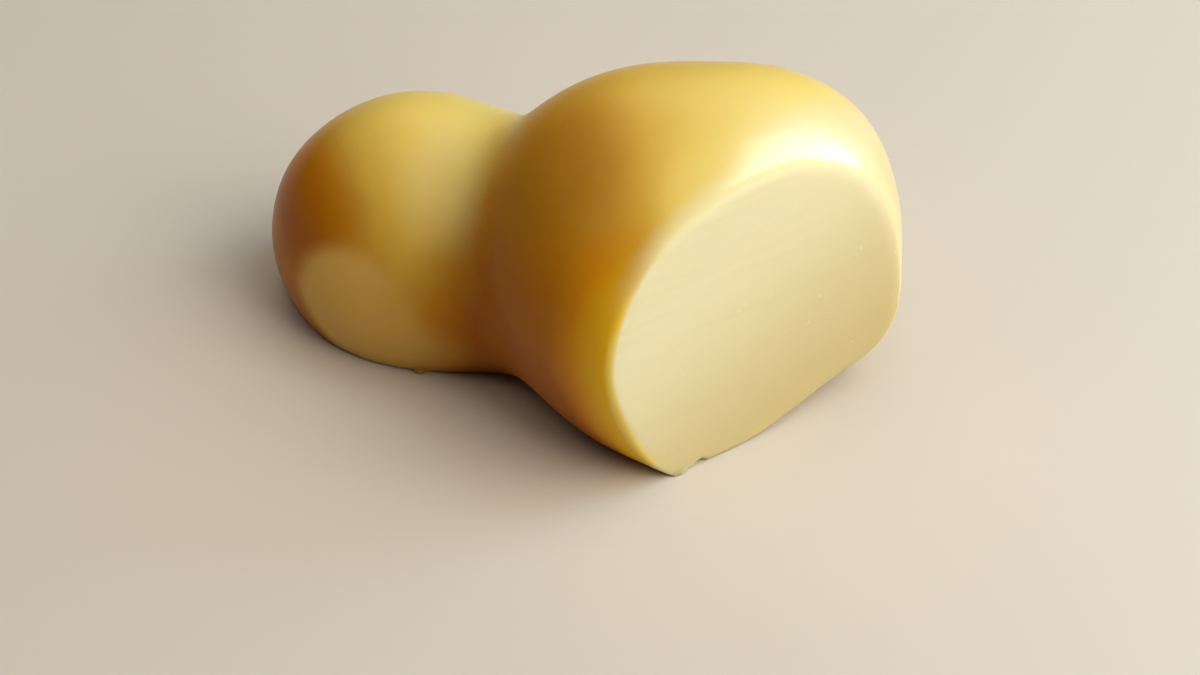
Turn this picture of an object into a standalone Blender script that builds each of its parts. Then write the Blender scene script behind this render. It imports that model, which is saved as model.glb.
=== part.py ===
"""A smoked scamorza, a pulled-curd cheese of two lobes, with its big end cut away.

It is one closed body. A small lobe, the head, and a large lobe, the body, run into each other
at the neck, where the string was tied. A slanting knife cut takes off the end of the body, and a
level cut makes the flat underside that the cheese lies on. The skin turns into both cuts with a
soft round rim. The origin is on the underside, below the middle of the bounding box. +X runs
from the head to the cut end, and +Z is up.
"""

import math

import bmesh
import bpy
import numpy as np

# The head lobe: middle, half length, half width and half height, in metres and degrees
HEAD_CENTRE = (-0.0332, -0.0024, 0.0170)
HEAD_HALF_SIZE = (0.0376, 0.0299, 0.0336)
HEAD_PITCH = 25.5
HEAD_POWERS = (2.0, 2.0)

# The body lobe, slightly squared and rolled, as it set against its neighbours
BODY_CENTRE = (0.0313, -0.0005, 0.0313)
BODY_HALF_SIZE = (0.0408, 0.0417, 0.0430)
BODY_PITCH = 7.7
BODY_ROLL = 19.8
BODY_POWERS = (2.64, 2.25)

# How much wider the body lobe is at its far end, as a share of its half width
BODY_TAPER = 0.19

# The width over which the two lobes run together at the neck
NECK_BLEND = 0.032

# The heel, a ball that fills out the body low at its far end, and the width it runs in over
HEEL_CENTRE = (0.0511, 0.0094, 0.0180)
HEEL_RADIUS = 0.0224
HEEL_BLEND = 0.0088

# The knife cut is upright, turned from +X towards -Y, at this distance from the origin
CUT_HEADING = 28.8
CUT_REACH = 0.0523

# The width of the round rims, at the cut face and at the underside. The cut's rim is sharper
# near the underside: its share there, and the height from which it has its full width.
CUT_RIM = 0.0028
LOW_RIM_SHARE = 0.2
FULL_RIM_HEIGHT = 0.018
BASE_RIM = 0.0010

# The underside's rim is wider on the far side: the width it gains there, and the distance from
# the origin along the face at which it begins to widen, with the length it widens over
FAR_RIM = 0.0262
FAR_RIM_START = 0.0094
FAR_RIM_SPAN = 0.0412

# The tear in the lower edge of the face, and the thin lip at the face's lower front corner. Both
# lie along the face, at this place along X and Y and height, with this half size.
TEAR_CENTRE = (0.0466, -0.0238, 0.0000)
TEAR_HALF_SIZE = (0.0015, 0.0012, 0.0016)
LIP_CENTRE = (0.0440, -0.0285, 0.0004)
LIP_HALF_SIZE = (0.0021, 0.0007, 0.0004)

# Ragged bits along the head's lower edge: place along X, place along Y, half length
RAGGED_BITS = ((-0.0213, -0.0263, 0.0014), (-0.0178, -0.0239, 0.0008))
RAGGED_BIT_HEIGHT = 0.0006
RAGGED_BIT_WIDTH_SHARE = 0.7
RAGGED_BIT_HEADING = 40

# The mesh: columns around the skin and across the underside, rings over the face, skin and tip
SKIN_COLUMNS = 60
BASE_COLUMNS = 12
FACE_RINGS = 8
SKIN_RINGS = 50
TIP_RINGS = 14
CROWDING = 0.6

# The line inside the cheese that the rings are measured from, and how deep it lies behind the face
HEAD_CORE = (-0.0332, -0.0024, 0.0230)
FACE_CORE_HEIGHT = 0.0330
CORE_DEPTH = 0.0300
CORE_SHARE = 0.5
SMALLEST_BASE_ANGLE = 9.0
LARGEST_BASE_ANGLE = 85.0
LONGEST_REACH = 0.13
HALVINGS = 26
FLAT_WITHIN = 0.000002
LONGEST_TAPER = 1.2
TINY = 1e-9

SCRAP_COLUMNS = 14
SCRAP_RINGS = 8
SHARP_ANGLE = 50

SKIN_COLOUR = (0.70, 0.43, 0.08, 1.0)
SKIN_ROUGHNESS = 0.35


def clear_scene():
    for obj in list(bpy.data.objects):
        bpy.data.objects.remove(obj, do_unlink=True)


def new_collection(name):
    collection = bpy.data.collections.new(name)
    bpy.context.scene.collection.children.link(collection)
    return collection


def smoked_skin():
    material = bpy.data.materials.new("smoked_skin")
    material.use_nodes = True
    shader = material.node_tree.nodes["Principled BSDF"]
    shader.inputs["Base Color"].default_value = SKIN_COLOUR
    shader.inputs["Roughness"].default_value = SKIN_ROUGHNESS
    return material


def lobe_axes(pitch, roll):
    """A lobe's length, side and top directions as rows, raised by pitch and turned by roll."""
    p, r = math.radians(pitch), math.radians(roll)
    length = np.array([math.cos(p), 0.0, math.sin(p)])
    side = np.array([0.0, 1.0, 0.0])
    top = np.cross(length, side)
    rolled_side = math.cos(r) * side + math.sin(r) * top
    return np.stack([length, rolled_side, np.cross(length, rolled_side)])


def lobe_depth(points, centre, half_size, powers, axes, taper=0.0):
    """How far points are outside a squared ellipsoid, along the line to its centre. The lobe's
    width grows with the place along it, by the taper's share at its end."""
    away = points - np.array(centre)
    along, side, top = np.moveaxis(away @ axes.T / np.array(half_size), -1, 0)
    side = side / (1 + taper * np.clip(along, -LONGEST_TAPER, LONGEST_TAPER))
    along, side, top = np.abs(along) + TINY, np.abs(side) + TINY, np.abs(top) + TINY
    end_power, side_power = powers
    across = (side**side_power + top**side_power) ** (1 / side_power)
    scale = (along**end_power + across**end_power) ** (1 / end_power)
    return np.linalg.norm(away, axis=-1) * (1 - 1 / scale)


def lower(a, b, width):
    """The lower of two depths, rounded off where they differ by less than the width."""
    near = np.maximum(width - np.abs(a - b), 0) / width
    return np.minimum(a, b) - width * near**3 / 6


def higher(a, b, width):
    return -lower(-a, -b, width)


def gourd_depth(points):
    """How far points are outside the whole skin: both lobes, run together at the neck, and the
    heel."""
    head_axes = lobe_axes(HEAD_PITCH, 0)
    body_axes = lobe_axes(BODY_PITCH, BODY_ROLL)
    head = lobe_depth(points, HEAD_CENTRE, HEAD_HALF_SIZE, HEAD_POWERS, head_axes)
    body = lobe_depth(points, BODY_CENTRE, BODY_HALF_SIZE, BODY_POWERS, body_axes, BODY_TAPER)
    heel = np.linalg.norm(points - np.array(HEEL_CENTRE), axis=-1) - HEEL_RADIUS
    return lower(lower(body, head, NECK_BLEND), heel, HEEL_BLEND)


def plane_normal(heading):
    return np.stack([np.cos(heading), -np.sin(heading), np.zeros_like(heading)], -1)


def along_plane(heading):
    return np.stack([np.sin(heading), np.cos(heading), np.zeros_like(heading)], -1)


def cheese_depth(points):
    """How far points are outside the cut cheese, with both of its rims rounded."""
    heading = math.radians(CUT_HEADING)
    knife = points @ plane_normal(heading) - CUT_REACH
    rise = np.clip(points[..., 2] / FULL_RIM_HEIGHT, 0, 1)
    cut_rim = CUT_RIM * (LOW_RIM_SHARE + (1 - LOW_RIM_SHARE) * rise)
    far = np.clip((points @ along_plane(heading) - FAR_RIM_START) / FAR_RIM_SPAN, 0, 1)
    base_rim = BASE_RIM + FAR_RIM * far * far * (3 - 2 * far)
    return higher(higher(gourd_depth(points), knife, cut_rim), -points[..., 2], base_rim)


def reach(starts, ways, depth):
    """The length of each ray that is inside the shape, found by halving."""
    low = np.zeros(ways.shape[:-1])
    high = np.full(ways.shape[:-1], LONGEST_REACH)
    for _ in range(HALVINGS):
        middle = (low + high) / 2
        inside = depth(starts + ways * middle[..., None]) < 0
        low = np.where(inside, middle, low)
        high = np.where(inside, high, middle)
    return (low + high) / 2


def crowd_last(count):
    """Fractions from 0 to 1 that come closer together towards 1."""
    t = np.linspace(0, 1, count + 1)
    return (1 - CROWDING) * t + CROWDING * np.sin(math.pi * t / 2)


def crowd_both(count):
    """Fractions from 0 to 1 that come closer together at both ends."""
    t = np.linspace(0, 1, count + 1)
    return (1 - CROWDING) * t + CROWDING * (1 - np.cos(math.pi * t)) / 2


def ring_layout():
    """The core point, side direction and lean towards the tip of each ring, rim first.

    The skin rings lie in upright planes. They fan from the cut to the plane across the head, about
    a line where those two planes meet. The tip rings are cones that close on the head's end.
    """
    head_core = np.array(HEAD_CORE)
    cut = plane_normal(math.radians(CUT_HEADING))
    face_core = np.array([CUT_REACH / cut[0], 0.0, FACE_CORE_HEIGHT])
    hinge = np.array([head_core[0], (CUT_REACH - cut[0] * head_core[0]) / cut[1], 0.0])
    heading = math.radians(CUT_HEADING) * crowd_last(SKIN_RINGS)[::-1]
    normals = plane_normal(heading)
    share = ((hinge - head_core) @ normals.T) / ((face_core - head_core) @ normals.T)
    cores = head_core + share[:, None] * (face_core - head_core)
    leans = np.concatenate([np.zeros(SKIN_RINGS), np.linspace(0, math.pi / 2, TIP_RINGS + 1)])
    cores = np.concatenate([cores, np.tile(head_core, (TIP_RINGS, 1))])
    heading = np.concatenate([heading, np.zeros(TIP_RINGS)])
    return cores, along_plane(heading), leans


def ring_ways(sides, leans, angles):
    """Ray directions of a ring, where angles run from straight down towards +Y."""
    up = np.array([0.0, 0.0, 1.0])
    across = np.sin(angles)[..., None] * sides - np.cos(angles)[..., None] * up
    tip = np.array([-1.0, 0.0, 0.0])
    return np.cos(leans)[..., None] * across + np.sin(leans)[..., None] * tip


def base_corner(cores, sides, leans, turn):
    """The angle at which each ring passes from the underside to the skin; turn is 1 or -1."""
    low = np.zeros(len(cores))
    high = np.full(len(cores), math.radians(LARGEST_BASE_ANGLE))
    for _ in range(HALVINGS):
        middle = (low + high) / 2
        ways = ring_ways(sides, leans, turn * middle)
        fall = cores + ways * (cores[:, 2] / np.maximum(-ways[:, 2], TINY))[:, None]
        on_base = gourd_depth(fall) < 0
        low = np.where(on_base, middle, low)
        high = np.where(on_base, high, middle)
    return turn * np.maximum(low, math.radians(SMALLEST_BASE_ANGLE))


def surface_grid():
    """Points of the whole surface: one row for each ring, from the middle of the face to the tip."""
    cores, sides, leans = ring_layout()
    back = base_corner(cores, sides, leans, 1)[:, None]
    front = base_corner(cores, sides, leans, -1)[:, None]
    over = back + (front + 2 * math.pi - back) * crowd_both(SKIN_COLUMNS)[:-1]
    under = front + (back - front) * np.linspace(0, 1, BASE_COLUMNS + 1)[:-1]
    angles = np.concatenate([over, under + 2 * math.pi], 1)
    core_of = cores[:, None, :]
    ways = ring_ways(sides[:, None, :], leans[:, None], angles)
    floor_reach = core_of[..., 2] / np.maximum(-ways[..., 2], TINY)
    sharp = core_of + ways * np.minimum(reach(core_of, ways, gourd_depth), floor_reach)[..., None]

    shares = crowd_last(FACE_RINGS)[:-1, None, None]
    face = cores[0] + shares * (sharp[0] - cores[0])
    sharp = np.concatenate([face, sharp])
    behind = CORE_DEPTH * np.maximum(1 - np.arange(len(cores)) / (CORE_SHARE * SKIN_RINGS), 0)
    behind = np.concatenate([np.full(FACE_RINGS, CORE_DEPTH), behind])
    cores = np.concatenate([np.tile(cores[0], (FACE_RINGS, 1)), cores])
    starts = cores - behind[:, None] * plane_normal(math.radians(CUT_HEADING))
    rays = sharp - starts[:, None, :]
    rays /= np.linalg.norm(rays, axis=-1, keepdims=True)
    grid = starts[:, None, :] + rays * reach(starts[:, None, :], rays, cheese_depth)[..., None]
    grid[..., 2] = np.where(np.abs(grid[..., 2]) < FLAT_WITHIN, 0, grid[..., 2])
    return grid


def scamorza(collection, material):
    """A ball whose circles of latitude are moved, one by one, to the rings of the cheese."""
    grid = surface_grid()
    rings, columns = grid.shape[0] - 1, grid.shape[1]
    ball = bmesh.new()
    bmesh.ops.create_uvsphere(ball, u_segments=columns, v_segments=rings, radius=1.0)
    for vertex in ball.verts:
        x, y, z = vertex.co
        ring = round(math.acos(max(-1.0, min(1.0, z))) / math.pi * rings)
        column = round(math.atan2(y, x) / (2 * math.pi) * columns) % columns
        vertex.co = grid[ring, column]
    bmesh.ops.recalc_face_normals(ball, faces=ball.faces)
    mesh = bpy.data.meshes.new("scamorza")
    ball.to_mesh(mesh)
    ball.free()
    mesh.shade_smooth()
    mesh.set_sharp_from_angle(angle=math.radians(SHARP_ANGLE))
    obj = bpy.data.objects.new("scamorza", mesh)
    obj.data.materials.append(material)
    collection.objects.link(obj)
    return obj


def scrap(collection, name, centre, half_size, heading):
    """A small long bead, used as a cutter or as a bit that is joined on."""
    bead = bmesh.new()
    bmesh.ops.create_uvsphere(bead, u_segments=SCRAP_COLUMNS, v_segments=SCRAP_RINGS, radius=1.0)
    mesh = bpy.data.meshes.new(name)
    bead.to_mesh(mesh)
    bead.free()
    obj = bpy.data.objects.new(name, mesh)
    obj.location = centre
    obj.scale = half_size
    obj.rotation_euler = (0, 0, math.radians(heading))
    obj.hide_render = True
    obj.display_type = "WIRE"
    collection.objects.link(obj)
    return obj


def apply_scrap(cheese, helper, operation):
    change = cheese.modifiers.new(helper.name, "BOOLEAN")
    change.operation = operation
    change.object = helper
    change.solver = "EXACT"


def main():
    clear_scene()
    parts = new_collection("scamorza")
    helpers = new_collection("helpers")
    cheese = scamorza(parts, smoked_skin())
    along_face = 90 - CUT_HEADING
    tear = scrap(helpers, "tear", TEAR_CENTRE, TEAR_HALF_SIZE, along_face)
    apply_scrap(cheese, tear, "DIFFERENCE")
    lip = scrap(helpers, "lip", LIP_CENTRE, LIP_HALF_SIZE, along_face)
    apply_scrap(cheese, lip, "UNION")
    for index, (x, y, half_length) in enumerate(RAGGED_BITS):
        size = (half_length, RAGGED_BIT_WIDTH_SHARE * half_length, RAGGED_BIT_HEIGHT)
        place = (x, y, RAGGED_BIT_HEIGHT)
        bit = scrap(helpers, f"ragged_bit_{index + 1}", place, size, RAGGED_BIT_HEADING)
        apply_scrap(cheese, bit, "UNION")


main()
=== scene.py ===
"""The looks of a smoked scamorza whose big end is cut away, on a plain pale floor.

The cheese is one closed surface worked out with numpy: two lobes that run together at the neck,
a round heel, a slanting knife cut and a level underside, with soft rims, small lumps, knife marks
and torn bits. Its one material shows the smoke colours on the skin and the cream inside on the
cuts. Some of that colour is painted light: painted shade on the side away from the light and low
on the face, a painted glow beside the cut and, in part, a painted highlight along the cut's rim.
"""

import math

import bpy
import numpy as np
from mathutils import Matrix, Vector


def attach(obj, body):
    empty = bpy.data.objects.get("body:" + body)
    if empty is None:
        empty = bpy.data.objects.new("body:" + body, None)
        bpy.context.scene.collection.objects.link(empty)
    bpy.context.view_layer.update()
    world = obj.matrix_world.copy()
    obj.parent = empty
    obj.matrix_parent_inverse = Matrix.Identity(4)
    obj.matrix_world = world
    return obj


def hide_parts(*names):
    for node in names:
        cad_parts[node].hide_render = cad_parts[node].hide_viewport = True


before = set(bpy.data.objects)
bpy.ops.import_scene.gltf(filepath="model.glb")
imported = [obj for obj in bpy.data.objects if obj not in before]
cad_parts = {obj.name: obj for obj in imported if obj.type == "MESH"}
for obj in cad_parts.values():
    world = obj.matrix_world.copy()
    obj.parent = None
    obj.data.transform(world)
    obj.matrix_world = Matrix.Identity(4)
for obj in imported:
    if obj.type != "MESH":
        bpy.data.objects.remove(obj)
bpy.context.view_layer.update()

# The two lobes, as the solid has them: middle, half size, pitch, roll, squareness and taper
HEAD_CENTRE = (-0.0332, -0.0024, 0.0170)
HEAD_HALF_SIZE = (0.0376, 0.0299, 0.0336)
HEAD_PITCH = 25.5
HEAD_POWERS = (2.0, 2.0)
BODY_CENTRE = (0.0313, -0.0005, 0.0313)
BODY_HALF_SIZE = (0.0408, 0.0417, 0.0430)
BODY_PITCH = 7.7
BODY_ROLL = 19.8
BODY_POWERS = (2.64, 2.25)
BODY_TAPER = 0.19
NECK_BLEND = 0.032

# The heel, a ball that fills out the body low at its far end, and the width it runs in over
HEEL_CENTRE = (0.0511, 0.0094, 0.0180)
HEEL_RADIUS = 0.0224
HEEL_BLEND = 0.0088

# The knife cut, and the rims where the skin turns into it and into the underside. The cut's rim
# is sharper near the underside: its share there, and the height where it has its full width.
CUT_HEADING = math.radians(28.8)
CUT_REACH = 0.0523
CUT_RIM = 0.0028
LOW_RIM_SHARE = 0.2
FULL_RIM_HEIGHT = 0.018
BASE_RIM = 0.0010

# The underside's rim is wider on the far side: the width it gains there, and the distance from
# the origin along the face at which it begins to widen, with the length it widens over
FAR_RIM = 0.0262
FAR_RIM_START = 0.0094
FAR_RIM_SPAN = 0.0412

# Small forms on the lower edge, as place, half size and heading: the tear in the face, the thin
# lip at its front corner and the ragged bits of the head
TEAR = ((0.0466, -0.0238, 0.0000), (0.0015, 0.0012, 0.0016), 61.2)
LIP = ((0.0440, -0.0285, 0.0004), (0.0021, 0.0007, 0.0004), 61.2)
RAGGED_BITS = (
    ((-0.0213, -0.0263, 0.0005), (0.0014, 0.0009, 0.0006), 40.0),
    ((-0.0178, -0.0239, 0.0005), (0.0008, 0.0006, 0.0006), 40.0),
)

# The width over which such a small form runs into the rest
JOIN = 0.0004

# The lip is cream too: its depth below the skin in millimetres, and how many times the distance
# from the lip is taken off that depth around it
LIP_DEPTH = 1.2
LIP_FALL = 4.0

# The grid of the surface: columns around the skin and across the underside, rings over the face,
# skin and tip, and the line inside the cheese that the rings are measured from
SKIN_COLUMNS = 240
BASE_COLUMNS = 62
FACE_RINGS = 60
SKIN_RINGS = 190
TIP_RINGS = 46
CROWDING = 0.65
HEAD_CORE = np.array([-0.0332, -0.0024, 0.0230])
FACE_CORE_HEIGHT = 0.0330
CORE_DEPTH = 0.0300
CORE_SHARE = 0.5
SMALLEST_BASE_ANGLE = math.radians(9)
LARGEST_BASE_ANGLE = math.radians(85)
LONGEST_REACH = 0.13
HALVINGS = 26
LONGEST_TAPER = 1.2
TINY = 1e-9
MM = 1000.0

# Lumps and ripples of the skin: size, height in metres and seed
SKIN_LUMPS = (0.019, 0.00035, 1)
SKIN_RIPPLES = (0.0045, 0.00003, 2)
LATTICE = 32

# Marks of the knife: how much they rise across the face, how much longer than high they are, the
# waves as size, height and seed, and one step as height above the underside, height and width
KNIFE_SLANT = 0.10
KNIFE_STRETCH = 6
KNIFE_WAVES = ((0.0052, 0.00003, 5), (0.0024, 0.000015, 6))
KNIFE_STEP_AT = 0.0390
KNIFE_STEP_HEIGHT = 0.00005
KNIFE_STEP_WIDTH = 0.0009


def turned_axes(pitch, roll):
    """A lobe's length, side and top directions as rows, raised by pitch and turned by roll."""
    p, r = math.radians(pitch), math.radians(roll)
    length = np.array([math.cos(p), 0.0, math.sin(p)])
    side = np.array([0.0, 1.0, 0.0])
    rolled_side = math.cos(r) * side + math.sin(r) * np.cross(length, side)
    return np.stack([length, rolled_side, np.cross(length, rolled_side)])


def ball_depth(points, centre, half_size, powers, axes, taper=0.0):
    """Distance outside a squared ellipsoid: the length to its centre, times one less the
    inverse of the scale at which the ellipsoid would pass through the point. Its width grows
    with the place along it, by the taper's share at its end."""
    away = points - np.array(centre)
    along, side, top = np.moveaxis(away @ axes.T / np.array(half_size), -1, 0)
    side = side / (1 + taper * np.clip(along, -LONGEST_TAPER, LONGEST_TAPER))
    along, side, top = np.abs(along) + TINY, np.abs(side) + TINY, np.abs(top) + TINY
    end_power, side_power = powers
    across = (side**side_power + top**side_power) ** (1 / side_power)
    scale = (along**end_power + across**end_power) ** (1 / end_power)
    return np.linalg.norm(away, axis=-1) * (1 - 1 / scale)


def rounding(a, b, width):
    """What a round rim of that width takes off where two depths are alike: a sixth of the width
    times the cube of their nearness."""
    near = np.maximum(width - np.abs(a - b), 0) / width
    return width * near**3 / 6


def lower(a, b, width):
    """The lower of two depths, rounded off where they differ by less than the width."""
    return np.minimum(a, b) - rounding(a, b, width)


def higher(a, b, width):
    return -lower(-a, -b, width)


def gourd_depth(points):
    """Distance outside the whole skin: both lobes, run together at the neck, and the heel."""
    head_axes, body_axes = turned_axes(HEAD_PITCH, 0), turned_axes(BODY_PITCH, BODY_ROLL)
    head = ball_depth(points, HEAD_CENTRE, HEAD_HALF_SIZE, HEAD_POWERS, head_axes)
    body = ball_depth(points, BODY_CENTRE, BODY_HALF_SIZE, BODY_POWERS, body_axes, BODY_TAPER)
    heel = np.linalg.norm(points - np.array(HEEL_CENTRE), axis=-1) - HEEL_RADIUS
    return lower(lower(body, head, NECK_BLEND), heel, HEEL_BLEND)


def plane_normal(heading):
    return np.stack([np.cos(heading), -np.sin(heading), np.zeros_like(heading)], -1)


CUT_NORMAL = plane_normal(CUT_HEADING)
CUT_ACROSS = np.array([math.sin(CUT_HEADING), math.cos(CUT_HEADING), 0.0])


def lattice_noise(points, size, seed):
    """Smooth noise from -1 to 1: seeded random values at the corners of cubes of the given
    size, eased from corner to corner along X, Y and Z."""
    table = np.random.default_rng(seed).uniform(-1, 1, (LATTICE, LATTICE, LATTICE))
    scaled = points / size
    corner = np.floor(scaled).astype(int)
    part = scaled - corner
    eased = part * part * (3 - 2 * part)
    total = np.zeros(points.shape[:-1])
    for dx in (0, 1):
        for dy in (0, 1):
            for dz in (0, 1):
                step = np.array([dx, dy, dz])
                weight = np.prod(np.where(step == 1, eased, 1 - eased), axis=-1)
                i, j, k = np.moveaxis((corner + step) % LATTICE, -1, 0)
                total += weight * table[i, j, k]
    return total


def relief(points, size, height, seed):
    return height * lattice_noise(points, size, seed)


def bead_depth(points, centre, half_size, heading):
    """Distance outside a small ellipsoid that is turned by its heading about the upright."""
    h = math.radians(heading)
    axes = np.array([[math.cos(h), math.sin(h), 0], [-math.sin(h), math.cos(h), 0], [0, 0, 1]])
    return ball_depth(points, centre, half_size, (2.0, 2.0), axes)


def knife_relief(points):
    """Height of the cut face over its plane: waves of the blade that run level across the
    face, and one low step where the blade was pushed on."""
    across = points @ CUT_ACROSS
    slant = points[..., 2] - KNIFE_SLANT * across
    bands = np.stack([across / KNIFE_STRETCH, np.zeros_like(across), slant], -1)
    waves = sum(relief(bands, *wave) for wave in KNIFE_WAVES)
    return waves + KNIFE_STEP_HEIGHT * np.tanh((slant - KNIFE_STEP_AT) / KNIFE_STEP_WIDTH)


def skin_depth(points):
    """Distance outside the skin as it is before any cut, with its lumps and ripples."""
    return gourd_depth(points) - relief(points, *SKIN_LUMPS) - relief(points, *SKIN_RIPPLES)


def base_rim(points):
    """Width of the underside's rim, which eases from narrow to wide towards the far side."""
    far = np.clip((points @ CUT_ACROSS - FAR_RIM_START) / FAR_RIM_SPAN, 0, 1)
    return BASE_RIM + FAR_RIM * far * far * (3 - 2 * far)


def cheese_depth(points):
    """Distance outside the finished cheese: the lumpy skin, cut by the wavy knife and by the
    level underside with rounded rims, with the tear taken out and the torn bits put on."""
    skin = skin_depth(points)
    knife = points @ CUT_NORMAL - CUT_REACH - knife_relief(points)
    rise = np.clip(points[..., 2] / FULL_RIM_HEIGHT, 0, 1)
    cut_rim = CUT_RIM * (LOW_RIM_SHARE + (1 - LOW_RIM_SHARE) * rise)
    solid = higher(higher(skin, knife, cut_rim), -points[..., 2], base_rim(points))
    for bit in (LIP, *RAGGED_BITS):
        solid = lower(solid, bead_depth(points, *bit), JOIN)
    solid = higher(solid, -bead_depth(points, *TEAR), JOIN)
    return np.maximum(solid, -points[..., 2])


def reach(starts, ways, depth):
    """The length of each ray that is inside the shape, found by halving."""
    low = np.zeros(ways.shape[:-1])
    high = np.full(ways.shape[:-1], LONGEST_REACH)
    for _ in range(HALVINGS):
        middle = (low + high) / 2
        inside = depth(starts + ways * middle[..., None]) < 0
        low = np.where(inside, middle, low)
        high = np.where(inside, high, middle)
    return (low + high) / 2


def crowd_last(count):
    """Fractions from 0 to 1 that come closer together towards 1."""
    t = np.linspace(0, 1, count + 1)
    return (1 - CROWDING) * t + CROWDING * np.sin(math.pi * t / 2)


def crowd_both(count):
    """Fractions from 0 to 1 that come closer together at both ends."""
    t = np.linspace(0, 1, count + 1)
    return (1 - CROWDING) * t + CROWDING * (1 - np.cos(math.pi * t)) / 2


def ring_layout():
    """The core point, side direction and lean towards the tip of each ring, rim first. Skin
    rings lie in upright planes that fan from the cut to the plane across the head, about the
    line where those two planes meet. Tip rings are cones that close on the head's end."""
    face_core = np.array([CUT_REACH / CUT_NORMAL[0], 0.0, FACE_CORE_HEIGHT])
    hinge_y = (CUT_REACH - CUT_NORMAL[0] * HEAD_CORE[0]) / CUT_NORMAL[1]
    hinge = np.array([HEAD_CORE[0], hinge_y, 0.0])
    heading = CUT_HEADING * crowd_last(SKIN_RINGS)[::-1]
    normals = plane_normal(heading)
    share = ((hinge - HEAD_CORE) @ normals.T) / ((face_core - HEAD_CORE) @ normals.T)
    cores = HEAD_CORE + share[:, None] * (face_core - HEAD_CORE)
    leans = np.concatenate([np.zeros(SKIN_RINGS), np.linspace(0, math.pi / 2, TIP_RINGS + 1)])
    cores = np.concatenate([cores, np.tile(HEAD_CORE, (TIP_RINGS, 1))])
    heading = np.concatenate([heading, np.zeros(TIP_RINGS)])
    sides = np.stack([np.sin(heading), np.cos(heading), np.zeros_like(heading)], -1)
    return cores, sides, leans


def ring_ways(sides, leans, angles):
    """Ray directions of a ring, where angles run from straight down towards +Y."""
    across = np.sin(angles)[..., None] * sides - np.cos(angles)[..., None] * np.array([0, 0, 1])
    return np.cos(leans)[..., None] * across + np.sin(leans)[..., None] * np.array([-1, 0, 0])


def base_corner(cores, sides, leans, turn):
    """The angle at which each ring passes from the underside to the skin; turn is 1 or -1."""
    low = np.zeros(len(cores))
    high = np.full(len(cores), LARGEST_BASE_ANGLE)
    for _ in range(HALVINGS):
        middle = (low + high) / 2
        ways = ring_ways(sides, leans, turn * middle)
        fall = cores + ways * (cores[:, 2] / np.maximum(-ways[:, 2], TINY))[:, None]
        on_base = gourd_depth(fall) < 0
        low = np.where(on_base, middle, low)
        high = np.where(on_base, high, middle)
    return turn * np.maximum(low, SMALLEST_BASE_ANGLE)


def surface_grid():
    """The whole surface as rings of points, from the middle of the face to the tip. Each point
    is first put on the sharp solid, where rings and columns follow its edges, and then moved
    along the ray from a core point inside until it meets the finished surface."""
    cores, sides, leans = ring_layout()
    back = base_corner(cores, sides, leans, 1)[:, None]
    front = base_corner(cores, sides, leans, -1)[:, None]
    over = back + (front + 2 * math.pi - back) * crowd_both(SKIN_COLUMNS)[:-1]
    under = front + (back - front) * (1 - crowd_last(BASE_COLUMNS)[::-1])[:-1]
    angles = np.concatenate([over, under + 2 * math.pi], 1)
    core_of = cores[:, None, :]
    ways = ring_ways(sides[:, None, :], leans[:, None], angles)
    floor_reach = core_of[..., 2] / np.maximum(-ways[..., 2], TINY)
    sharp = core_of + ways * np.minimum(reach(core_of, ways, gourd_depth), floor_reach)[..., None]

    face = cores[0] + crowd_last(FACE_RINGS)[:-1, None, None] * (sharp[0] - cores[0])
    sharp = np.concatenate([face, sharp])
    behind = CORE_DEPTH * np.maximum(1 - np.arange(len(cores)) / (CORE_SHARE * SKIN_RINGS), 0)
    behind = np.concatenate([np.full(FACE_RINGS, CORE_DEPTH), behind])
    cores = np.concatenate([np.tile(cores[0], (FACE_RINGS, 1)), cores])
    starts = (cores - behind[:, None] * CUT_NORMAL)[:, None, :]
    rays = sharp - starts
    rays /= np.linalg.norm(rays, axis=-1, keepdims=True)
    return starts + rays * reach(starts, rays, cheese_depth)[..., None]


def closed_mesh(name, grid):
    """A mesh of four-sided faces over a grid whose columns close on themselves and whose first
    and last rows are each a single point."""
    rows, columns = grid.shape[0] - 2, grid.shape[1]
    points = np.concatenate([grid[:1, 0], grid[1:-1].reshape(-1, 3), grid[-1:, 0]])
    first = 1 + np.arange(columns)
    after = 1 + (np.arange(columns) + 1) % columns
    shift = np.arange(rows - 1)[:, None] * columns
    ring, next_ring = (first + shift, after + shift), (after + shift + columns, first + shift + columns)
    quads = np.stack([*ring, *next_ring], -1)
    last = (rows - 1) * columns
    start_fan = np.stack([first, after, np.zeros_like(first)], -1)
    end_fan = np.stack([first + last, after + last, np.full_like(first, len(points) - 1)], -1)
    mesh = bpy.data.meshes.new(name)
    faces = [*start_fan.tolist(), *quads.reshape(-1, 4)[:, ::-1].tolist(), *end_fan[:, ::-1].tolist()]
    mesh.from_pydata(points.tolist(), [], faces)
    mesh.validate()
    mesh.shade_smooth()
    return mesh, points


def point_attribute(mesh, name, values):
    attribute = mesh.attributes.new(name, "FLOAT", "POINT")
    attribute.data.foreach_set("value", np.asarray(values, np.float32))


def cheese_piece():
    """The cheese, with the depth of each point below the whole skin, in millimetres, which the
    material reads to tell smoked skin from cream inside. The skin goes round the soft far edge."""
    mesh, points = closed_mesh("scamorza_cheese", surface_grid())
    skin = skin_depth(points)
    below = -MM * (skin + rounding(skin, -points[:, 2], base_rim(points)))
    from_lip = MM * np.maximum(bead_depth(points, *LIP), 0)
    below = np.maximum(below, LIP_DEPTH - LIP_FALL * from_lip)
    point_attribute(mesh, "below_skin", below)
    piece = bpy.data.objects.new("scamorza_cheese", mesh)
    bpy.context.scene.collection.objects.link(piece)
    return piece


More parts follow.
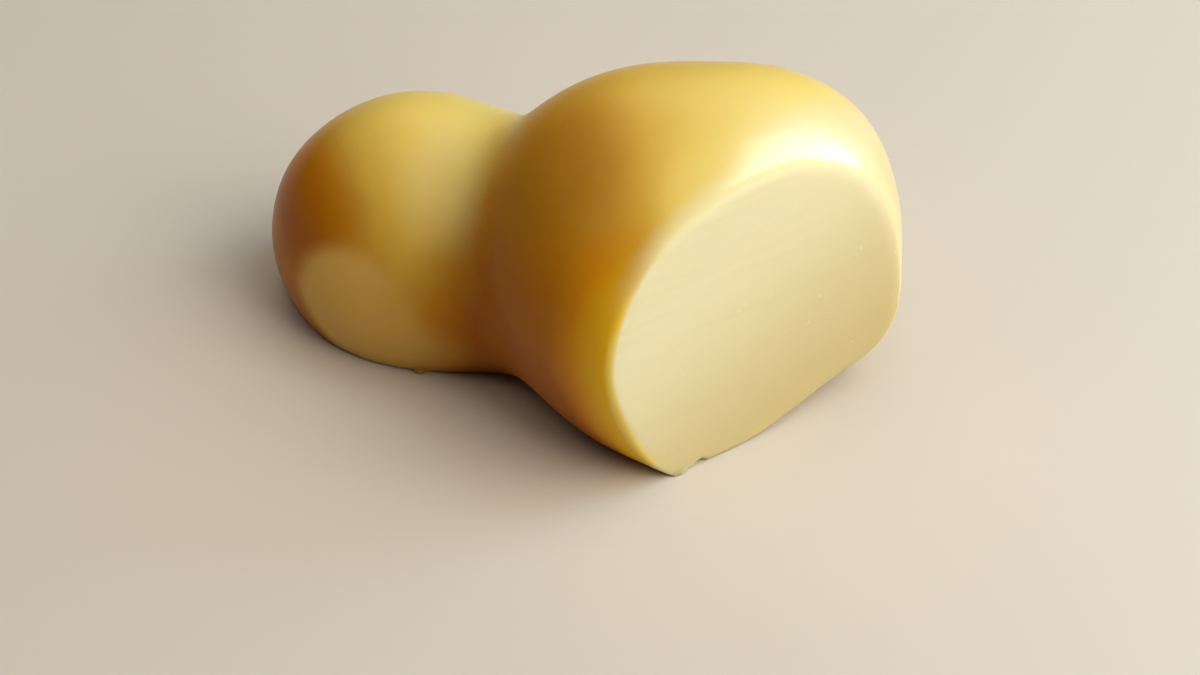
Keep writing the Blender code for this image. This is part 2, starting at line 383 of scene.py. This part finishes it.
class Wire:
    """A value in a material. Sums, differences, products and quotients of it add Math nodes."""

    def __init__(self, paint, socket):
        self.paint, self.socket = paint, socket

    def step(self, operation, *others):
        return self.paint.node("Math", {"operation": operation}, dict(enumerate((self, *others))))

    def __add__(self, other):
        return self.step("ADD", other)

    def __mul__(self, other):
        return self.step("MULTIPLY", other)

    def __sub__(self, other):
        return self.step("SUBTRACT", other)

    def __truediv__(self, other):
        return self.step("DIVIDE", other)

    def __rsub__(self, other):
        return self.paint.node("Math", {"operation": "SUBTRACT"}, {0: other, 1: self})

    __radd__, __rmul__ = __add__, __mul__

    def ease(self, start, end):
        """0 below start and 1 above end, or the other way where end is below start."""
        rising = {"interpolation_type": "SMOOTHSTEP"}
        low, high = min(start, end), max(start, end)
        inputs = {"Value": self, "From Min": low, "From Max": high}
        eased = self.paint.node("MapRange", rising, inputs)
        return eased if start <= end else 1 - eased


class Paint:
    """A material and the ways to add nodes to it."""

    def __init__(self, name):
        self.material = bpy.data.materials.new(name)
        self.material.use_nodes = True
        self.tree = self.material.node_tree
        self.shader = self.tree.nodes["Principled BSDF"]
        self.place = self.node("TexCoord", output="Object")

    def node(self, kind, settings=None, inputs=None, output=0):
        """Any node: its type, its settings, the values or wires of its sockets, and its output."""
        made = self.tree.nodes.new("ShaderNode" + kind)
        for key, value in (settings or {}).items():
            if key == "stops":
                self.set_stops(made.color_ramp.elements, value)
            else:
                setattr(made, key, value)
        for key, value in (inputs or {}).items():
            self.feed(made.inputs[key], value)
        return Wire(self, made.outputs[output])

    def set_stops(self, elements, stops):
        """Fills a colour ramp, which starts with two stops, with (place, colour) pairs."""
        while len(elements) < len(stops):
            elements.new(1.0)
        for element, (spot, colour) in zip(elements, stops):
            element.position, element.color = spot, colour

    def feed(self, socket, value):
        if isinstance(value, Wire):
            self.tree.links.new(value.socket, socket)
        else:
            socket.default_value = value

    def dot(self, place, way):
        return self.node("VectorMath", {"operation": "DOT_PRODUCT"}, {0: place, 1: way}, "Value")

    def noise(self, scale, detail, rough, place=None):
        inputs = {"Vector": place or self.place, "Scale": scale, "Detail": detail, "Roughness": rough}
        return self.node("TexNoise", inputs=inputs)

    def mapped(self, place, centre=(0, 0, 0), turn=(0, 0, 0), size=(1, 1, 1)):
        """Place measured from a centre, along turned axes and in units of the given size."""
        settings = {"vector_type": "TEXTURE"}
        inputs = {"Vector": place, "Location": centre, "Rotation": turn, "Scale": size}
        return self.node("Mapping", settings, inputs)

    def patch(self, place, centre, size, softness, turn=(0, 0, 0)):
        """1 inside a ball stretched to the given half size, easing to 0 over its softness."""
        inside = self.mapped(place, centre, turn, size)
        far = self.node("VectorMath", {"operation": "LENGTH"}, {0: inside}, "Value")
        return far.ease(1 + softness, 1 - softness)

    def mix(self, share, first, second):
        """First where share is 0, second where it is 1."""
        inputs = {"Factor": share, 6: first, 7: second}
        return self.node("Mix", {"data_type": "RGBA"}, inputs, 2)

    def along_x(self, place):
        return self.node("SeparateXYZ", inputs={0: place})


# Smoke colours from the deepest to the palest
DEEP_AMBER = (0.41, 0.115, 0.002, 1)
AMBER = (0.50, 0.175, 0.003, 1)
HONEY = (0.56, 0.245, 0.012, 1)
BROWN_GOLD = (0.63, 0.335, 0.036, 1)
DARK_GOLD = (0.74, 0.46, 0.067, 1)
GOLD = (0.82, 0.575, 0.115, 1)
BRIGHT_GOLD = (0.85, 0.625, 0.145, 1)
STRAW = (0.84, 0.655, 0.180, 1)
PALE_STRAW = (0.83, 0.67, 0.235, 1)
BUTTER = (0.80, 0.68, 0.33, 1)
# The next two are a painted glow, for light through the thin skin beside the cut
PAINTED_GLOW_WARM_AMBER = (0.76, 0.30, 0.002, 1)
PAINTED_GLOW_AMBER = (0.93, 0.57, 0.012, 1)
PALE_RIM = (0.90, 0.66, 0.14, 1)
# paler rim of the pale skin by the cut, partly a painted highlight
CREAMY_HIGHLIGHT_RIM = (0.84, 0.73, 0.37, 1)
# painted shade colour for the body's upper left, which faces away from the light
PAINTED_SHADE_AMBER = (0.38, 0.165, 0.010, 1)
UNSMOKED = (0.74, 0.45, 0.105, 1)
NECK_STRAW = (0.80, 0.63, 0.24, 1)
CREAM = (0.87, 0.795, 0.50, 1)
DEEP_CREAM = (0.66, 0.53, 0.24, 1)
WHITE_FLECK = (0.93, 0.90, 0.72, 1)

# The smoke fades along this way, in levels a metre, from this start. The way points up and towards
# the light, so the side away from the light is deeper amber: real smoke with painted shade. It has
# faded more on the head, from one place along X to another.
SMOKE_AND_SHADE_WAY = (510.0, 410.0, 380.0)
SMOKE_START = 24.8
HEAD_FADE = 40.8
HEAD_FADE_FROM, HEAD_FADE_TO = 0.0019, -0.0248

# Patches that deepen the smoke colour: middle, half size, softness and turn, and the levels that
# each takes. The first is smoke on the head's end, the second is painted shade on the far top of
# the body, which turns away from the light, and the third is a slight darkening on the body's top.
HEAD_END_TURN = (0, math.radians(22), 0)
SMOKE_AND_SHADE_PATCHES = (
    (((-0.0530, -0.0230, 0.0345), (0.0175, 0.0170, 0.0115), 0.6, HEAD_END_TURN), 13),
    # painted shade: the far top of the body, turned away from the light
    (((0.028, 0.029, 0.067), (0.029, 0.021, 0.022), 0.6), 15),
    (((0.020, -0.012, 0.071), (0.018, 0.015, 0.011), 0.7), 5),
)

# Skin that is pale already, between these levels, pales by this much more over this width
# before the cut
PALE_FROM, PALE_TO = 54, 62
PALER = 12
PALER_WIDTH = 0.0180

# The amber flank: none of it above the first level, all of it below the second
AMBER_NONE, AMBER_ALL = 58, 40

# Patches of a colour: middle, half size and softness, with share and colour. The first is painted
# shade on the body's upper left, which faces away from the light; the second is a paler patch at
# the neck and the third is unsmoked skin low on the head.
TINTS_AND_PAINTED_SHADE = (
    (((0.012, -0.024, 0.063), (0.014, 0.014, 0.014), 0.6), 0.65, PAINTED_SHADE_AMBER),
    (((-0.018, -0.015, 0.047), (0.009, 0.014, 0.010), 0.7), 0.6, NECK_STRAW),
    (((-0.0260, -0.0310, 0.0080), (0.0150, 0.0150, 0.0090), 0.6), 0.6, UNSMOKED),
)

# The patch low on the head that the smoke didn't reach, with its share, which falls towards the
# neck by this much from one place along X to another
BARE = ((-0.0340, -0.0305, 0.0145), (0.0165, 0.0180, 0.0165), 0.2)
BARE_SHARE = 0.95
BARE_FALL = 0.5
BARE_FALL_FROM, BARE_FALL_TO = -0.034, -0.016

# Bands beside the cut on the amber flank: where each starts and is full, as widths before the
# cut, and its colour. The first two are a painted glow, standing for light that shines through the
# thin skin at the cut; the third is the skin turning to cream at the rim. The pale skin has one band.
AMBER_BANDS = (
    (0.0170, 0.0060, PAINTED_GLOW_WARM_AMBER), (0.0110, 0.0010, PAINTED_GLOW_AMBER), (0.0016, 0.0, PALE_RIM),
)
# The pale skin's band pales it towards the cream and also paints part of the highlight up to the cut's
# top edge
PALE_HIGHLIGHT_BAND = (0.0060, 0.0010)

# The low front corner, which is cream down to its edge: middle, half size and softness
CREAM_CORNER = ((0.0430, -0.0305, 0.0015), (0.0060, 0.0060, 0.0060), 0.35)

# Cream shows from no depth to the first depth below the skin, in millimetres. On the amber flank
# it starts deeper by the second and takes longer by the third.
CREAM_DEPTH = 0.7
AMBER_DEEPER = 0.5
AMBER_LONGER = 0.4

# The cream deepens and darkens along this way, towards the low far edge, in levels a metre, from
# the first level to the second: painted shade where the face gets less light near the floor
FACE_SHADE_WAY = (304.0, 396.0, -900.0)
FACE_SHADE_FROM, FACE_SHADE_TO = -44, 16

# Bands of the knife in the cream, fine mottling and white flecks
BAND_SIZE = (0.05, 0.05, 0.0030)
BAND_FROM, BAND_TO = 0.45, 0.75
BAND_SHARE = 0.10
MOTTLE_SHARE = 0.08
FLECK_SCALE = 800
FLECK_FROM, FLECK_TO = 0.83, 0.86
FLECK_SHARE = 0.3

# Noise of the material, as scale, detail and roughness: fine mottling, pores, and the drift that
# makes the edges of colours wander by up to half this distance
FINE = (160, 3, 0.55)
PORES = (900, 2, 0.5)
DRIFT_SCALE = 30.0
DRIFT_DETAIL = 3.0
DRIFT = 0.010

SKIN_ROUGHNESS = 0.30
CUT_ROUGHER = 0.20
UNEVEN_ROUGHNESS = 0.10
FINE_RELIEF = 0.6
PORE_RELIEF = 0.4
BUMP_STRENGTH = 0.08
BUMP_HEIGHT = 0.0004

# What lies under the surface: share of light that goes in, how far each colour goes, and gloss
UNDER_SURFACE = {
    "Subsurface Weight": 0.85,
    "Subsurface Radius": (1.0, 0.9, 0.75),
    "Subsurface Scale": 0.0045,
    "Specular IOR Level": 0.08,
}

# The smoke's levels, as shares of a hundred on the colour ramp
SMOKE_SPAN = 100.0
SMOKE_STOPS = (
    (27, DEEP_AMBER), (35, AMBER), (43, HONEY), (50, BROWN_GOLD), (56, DARK_GOLD),
    (63, GOLD), (68, BRIGHT_GOLD), (75, STRAW), (81, PALE_STRAW), (88, BUTTER),
)


def near_cut(past_cut, start, full):
    return past_cut.ease(CUT_REACH - start, CUT_REACH - full)


def smoke_and_shade_fade(paint, place, past_cut):
    """How far the smoke has faded: low and amber on the flanks away from the light, as smoke and
    painted shade, high and straw towards the cut.
    """
    fade = paint.dot(place, SMOKE_AND_SHADE_WAY) + SMOKE_START
    fade = fade + HEAD_FADE * paint.along_x(place).ease(HEAD_FADE_FROM, HEAD_FADE_TO)
    for patch, levels in SMOKE_AND_SHADE_PATCHES:
        fade = fade - levels * paint.patch(place, *patch)
    return fade + PALER * near_cut(past_cut, PALER_WIDTH, 0) * fade.ease(PALE_FROM, PALE_TO)


def smoked_skin(paint, place, fade, amber, past_cut):
    """The colour of the skin by how far the smoke has faded, with painted shade away from the light,
    with its patches, and beside the cut a painted glow on the amber flank and a creamy rim on the
    pale skin that is partly a painted highlight."""
    stops = [(level / SMOKE_SPAN, colour) for level, colour in SMOKE_STOPS]
    skin = paint.node("ValToRGB", {"stops": stops}, {"Fac": fade / SMOKE_SPAN})
    for patch, share, colour in TINTS_AND_PAINTED_SHADE:
        skin = paint.mix(share * paint.patch(place, *patch), skin, colour)
    share = BARE_SHARE - BARE_FALL * paint.along_x(place).ease(BARE_FALL_FROM, BARE_FALL_TO)
    skin = paint.mix(paint.patch(place, *BARE) * share, skin, UNSMOKED)
    for start, full, colour in AMBER_BANDS:
        skin = paint.mix(near_cut(past_cut, start, full) * amber, skin, colour)
    return paint.mix(near_cut(past_cut, *PALE_HIGHLIGHT_BAND) * (1 - amber), skin, CREAMY_HIGHLIGHT_RIM)


def cream_inside(paint, place, fine):
    """The cut cheese: cream, deeper and darker towards the low far edge as painted shade, with faint
    level bands from the knife and a few white flecks."""
    inside = paint.mix(paint.dot(place, FACE_SHADE_WAY).ease(FACE_SHADE_FROM, FACE_SHADE_TO), CREAM, DEEP_CREAM)
    bands = paint.noise(1.0, 2, 0.5, paint.mapped(place, size=BAND_SIZE)).ease(BAND_FROM, BAND_TO)
    inside = paint.mix(BAND_SHARE * bands + MOTTLE_SHARE * fine, inside, DEEP_CREAM)
    flecks = paint.noise(FLECK_SCALE, 0, 0.4).ease(FLECK_FROM, FLECK_TO)
    return paint.mix(FLECK_SHARE * flecks, inside, WHITE_FLECK)


def wandering_place(paint):
    """Place, moved by a slow noise so that the edges of the colours wander."""
    inputs = {"Vector": paint.place, "Scale": DRIFT_SCALE, "Detail": DRIFT_DETAIL}
    drift = paint.node("TexNoise", inputs=inputs, output="Color")
    moved = {0: drift, 1: (DRIFT, DRIFT, DRIFT), 2: paint.place}
    moved = paint.node("VectorMath", {"operation": "MULTIPLY_ADD"}, moved)
    middle = (DRIFT / 2, DRIFT / 2, DRIFT / 2)
    return paint.node("VectorMath", {"operation": "SUBTRACT"}, {0: moved, 1: middle})


def cheese_material():
    """Smoked skin over a cream inside, told apart by how deep a point lies below the skin."""
    paint = Paint("smoked_scamorza")
    below = paint.node("Attribute", {"attribute_name": "below_skin"}, output="Fac")
    fine = paint.noise(*FINE)
    wandering = wandering_place(paint)
    past_cut = paint.dot(wandering, tuple(CUT_NORMAL))
    fade = smoke_and_shade_fade(paint, wandering, past_cut)
    amber = fade.ease(AMBER_NONE, AMBER_ALL)
    skin = smoked_skin(paint, wandering, fade, amber, past_cut)
    inside = cream_inside(paint, paint.place, fine)
    corner = paint.patch(paint.place, *CREAM_CORNER)
    deep = ((below - AMBER_DEEPER * amber) / (CREAM_DEPTH + AMBER_LONGER * amber)).ease(0, 1)
    cut = 1 - (1 - corner) * (1 - deep)
    roughness = SKIN_ROUGHNESS + CUT_ROUGHER * cut + UNEVEN_ROUGHNESS * (fine - 0.5)
    height = FINE_RELIEF * fine + PORE_RELIEF * paint.noise(*PORES)
    bump = {"Height": height, "Strength": BUMP_STRENGTH, "Distance": BUMP_HEIGHT}
    paint.feed(paint.shader.inputs["Base Color"], paint.mix(cut, skin, inside))
    paint.feed(paint.shader.inputs["Roughness"], roughness)
    paint.feed(paint.shader.inputs["Normal"], paint.node("Bump", inputs=bump))
    for socket, value in UNDER_SURFACE.items():
        paint.feed(paint.shader.inputs[socket], value)
    return paint.material


# The photograph's view: 75 mm lens, 40 degrees above the floor, round to the cut end
VIEW_AZIMUTH = math.radians(28.0)
VIEW_ELEVATION = math.radians(40.0)
VIEW_DISTANCE = 0.562
VIEW_TARGET = Vector((0.0081, 0.0029, 0.0))
LENS = 75.0
NEAREST_SEEN = 0.01

FLOOR_HALF_SIZE = 4.0
FLOOR_COLOUR = (0.57, 0.485, 0.37, 1)
FLOOR_ROUGHNESS = 0.85
WALL_DISTANCE = 2.0
WALL_HEIGHT = 2.0
WALL_SIDES = 48
WALL_COLOUR = (0.68, 0.62, 0.54, 1)
BLACK = (0, 0, 0, 1)

# Soft boxes: name, azimuth, elevation, width and height, power, colour and what it makes
LIGHT_DISTANCE = 1.2
LIGHTS = (
    ("window", 134, 36, (0.5, 2.0), 185.0, (0.82, 0.92, 1.0), "gloss"),
    ("skylight", -165, 63, (1.3, 1.3), 7.0, (0.90, 0.95, 1.0), "gloss"),
    ("right_wall", 89, 42, (0.9, 0.9), 13.4, (1.0, 0.99, 0.97), "matt"),
    ("left_wall", -53, 45, (0.9, 0.9), 0.6, (1.0, 0.98, 0.95), "matt"),
    ("ceiling", 0, 88, (1.2, 1.2), 6.2, (1.0, 0.99, 0.97), "matt"),
    ("back_wall", -150, 22, (1.0, 0.6), 2.4, (1.0, 0.93, 0.82), "matt"),
)
SURROUND_STRENGTH = 0.02
SURROUND_COLOUR = (1.0, 0.98, 0.95, 1)


def direction(azimuth, elevation):
    """The way from the cheese to something seen at that azimuth and elevation, as of a view."""
    return Vector((math.sin(azimuth) * math.cos(elevation),
                   -math.cos(azimuth) * math.cos(elevation), math.sin(elevation)))


def add_camera():
    camera = bpy.data.objects.new("camera", bpy.data.cameras.new("camera"))
    back = direction(VIEW_AZIMUTH, VIEW_ELEVATION)
    camera.location = VIEW_TARGET + back * VIEW_DISTANCE
    camera.rotation_euler = (-back).to_track_quat("-Z", "Y").to_euler()
    camera.data.lens = LENS
    camera.data.clip_start = NEAREST_SEEN
    bpy.context.scene.collection.objects.link(camera)
    bpy.context.scene.camera = camera


def add_floor():
    s = FLOOR_HALF_SIZE
    mesh = bpy.data.meshes.new("floor")
    mesh.from_pydata([(-s, -s, 0), (s, -s, 0), (s, s, 0), (-s, s, 0)], [], [(0, 1, 2, 3)])
    paint = Paint("floor")
    paint.shader.inputs["Base Color"].default_value = FLOOR_COLOUR
    paint.shader.inputs["Roughness"].default_value = FLOOR_ROUGHNESS
    mesh.materials.append(paint.material)
    floor = bpy.data.objects.new("floor", mesh)
    bpy.context.scene.collection.objects.link(floor)


def add_light(name, azimuth, elevation, size, power, colour, lights):
    """A soft box of a width and height, which lights the matt surface or makes the gloss."""
    light = bpy.data.lights.new(name, "AREA")
    light.shape = "RECTANGLE"
    light.size, light.size_y = size
    light.energy, light.color = power, colour
    lamp = bpy.data.objects.new(name, light)
    lamp.visible_diffuse = lights != "gloss"
    lamp.visible_glossy = lights != "matt"
    way = direction(math.radians(azimuth), math.radians(elevation))
    lamp.location = way * LIGHT_DISTANCE
    lamp.rotation_euler = (-way).to_track_quat("-Z", "Y").to_euler()
    bpy.context.scene.collection.objects.link(lamp)


def add_wall():
    """A pale wall all round, as a many-sided ring. Only the camera sees it: it lights nothing."""
    turns = np.linspace(0, 2 * math.pi, WALL_SIDES + 1)[:-1]
    ring = WALL_DISTANCE * np.stack([np.cos(turns), np.sin(turns), np.zeros(WALL_SIDES)], -1)
    points = np.concatenate([ring, ring + np.array([0, 0, WALL_HEIGHT])])
    first = np.arange(WALL_SIDES)
    after = (first + 1) % WALL_SIDES
    mesh = bpy.data.meshes.new("wall")
    faces = np.stack([after, first, first + WALL_SIDES, after + WALL_SIDES], -1)
    mesh.from_pydata(points.tolist(), [], faces.tolist())
    paint = Paint("wall")
    paint.shader.inputs["Base Color"].default_value = BLACK
    paint.shader.inputs["Emission Color"].default_value = WALL_COLOUR
    paint.shader.inputs["Emission Strength"].default_value = 1.0
    mesh.materials.append(paint.material)
    wall = bpy.data.objects.new("wall", mesh)
    wall.visible_diffuse = wall.visible_glossy = wall.visible_shadow = False
    bpy.context.scene.collection.objects.link(wall)


def add_world(strength, colour):
    world = bpy.data.worlds.new("studio")
    world.use_nodes = True
    surround = world.node_tree.nodes["Background"]
    surround.inputs["Color"].default_value = colour
    surround.inputs["Strength"].default_value = strength
    bpy.context.scene.world = world


cheese = cheese_piece()
cheese.data.materials.append(cheese_material())
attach(cheese, "root")
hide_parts("scamorza")

add_floor()
add_wall()
add_camera()
for row in LIGHTS:
    add_light(*row)
add_world(SURROUND_STRENGTH, SURROUND_COLOUR)
bpy.context.scene.view_settings.view_transform = "Standard"
